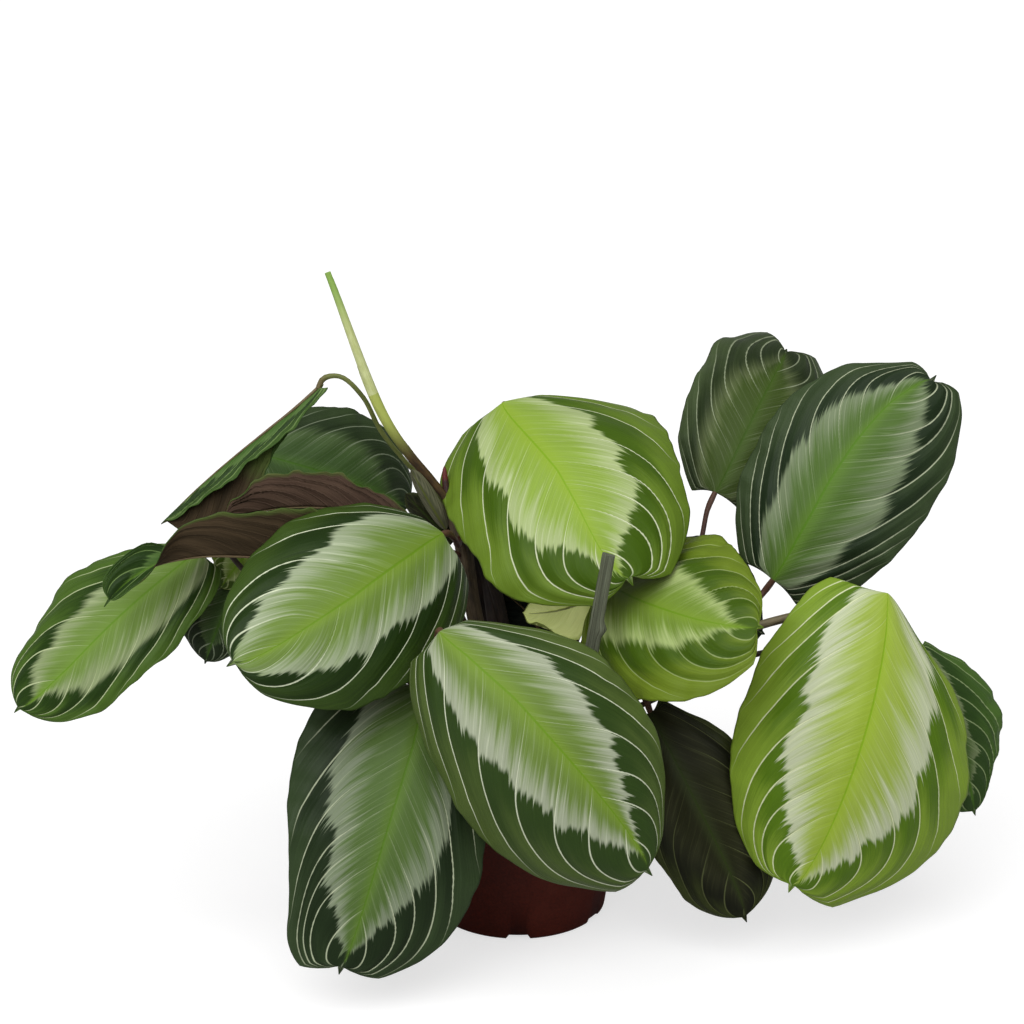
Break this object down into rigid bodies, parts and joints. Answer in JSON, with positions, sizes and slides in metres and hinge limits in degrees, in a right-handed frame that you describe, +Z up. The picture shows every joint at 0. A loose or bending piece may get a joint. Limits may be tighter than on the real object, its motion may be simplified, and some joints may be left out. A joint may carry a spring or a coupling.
{
  "type": "potted prayer plant",
  "caption": "Potted prayer plant (maranta) with broad silver-banded leaves on thin red stalks, a rolled new shoot and a grey support stake in a red-brown nursery pot.",
  "frame": {"origin": "middle of the pot's flat underside, on the surface it stands on", "axes": "+Z up, -Y towards the front of the plant, +X to the right seen from the front"},
  "size_m": [0.4732, 0.258, 0.3176],
  "materials": {
    "pot_plastic": "matte red-brown",
    "potting_soil": "damp, crumbly",
    "weathered_stake": "grey, weathered and cracked",
    "brown_stem": "dry papery sheaths",
    "red_stalk": "slightly glossy, reddish brown",
    "buff_sheath": "dry, buff",
    "pale_shoot": "pale green, smooth",
    "leaf_lime": "satin, lime with a silver band",
    "leaf_green": "satin, green with a silver band",
    "leaf_dark": "satin, dark green with a silver band",
    "leaf_purple": "matte purple underside",
    "leaf_pale": "pale yellow-green, thin"
  },
  "bodies": {
    "root": {"pot": "pot_plastic", "soil": "potting_soil", "stake": "weathered_stake", "stem_left": "brown_stem", "stem_centre": "brown_stem", "shoot": "pale_shoot", "sheath_left": "buff_sheath", "leaf_top_centre": "leaf_lime", "petiole_top_centre": "red_stalk", "leaf_behind_stake": "leaf_lime", "petiole_behind_stake": "red_stalk", "leaf_lower_right": "leaf_lime", "petiole_lower_right": "buff_sheath", "leaf_front": "leaf_green", "petiole_front": "red_stalk", "leaf_left": "leaf_green", "petiole_left": "red_stalk", "leaf_far_left": "leaf_green", "petiole_far_left": "red_stalk", "leaf_tiny_left": "leaf_green", "petiole_tiny_left": "red_stalk", "leaf_back_left": "leaf_green", "petiole_back_left": "red_stalk", "leaf_back_right": "leaf_green", "petiole_back_right": "red_stalk", "leaf_folded_high": "leaf_green", "petiole_folded_high": "red_stalk", "leaf_lower_left": "leaf_dark", "petiole_lower_left": "red_stalk", "leaf_rear_left": "leaf_dark", "petiole_rear_left": "red_stalk", "leaf_upper_right_rear": "leaf_dark", "petiole_upper_right_rear": "red_stalk", "leaf_upper_right": "leaf_dark", "petiole_upper_right": "red_stalk", "leaf_far_right": "leaf_dark", "petiole_far_right": "red_stalk", "leaf_shaded": "leaf_dark", "petiole_shaded": "red_stalk", "leaf_small_left": "leaf_dark", "petiole_small_left": "red_stalk", "leaf_dark_centre": "leaf_dark", "petiole_dark_centre": "red_stalk", "leaf_dark_right": "leaf_dark", "petiole_dark_right": "red_stalk", "leaf_folded_low": "leaf_purple", "petiole_folded_low": "red_stalk", "leaf_folded_mid": "leaf_purple", "petiole_folded_mid": "red_stalk", "leaf_pale_centre": "leaf_pale", "petiole_pale_centre": "red_stalk"}
  },
  "joints": []
}
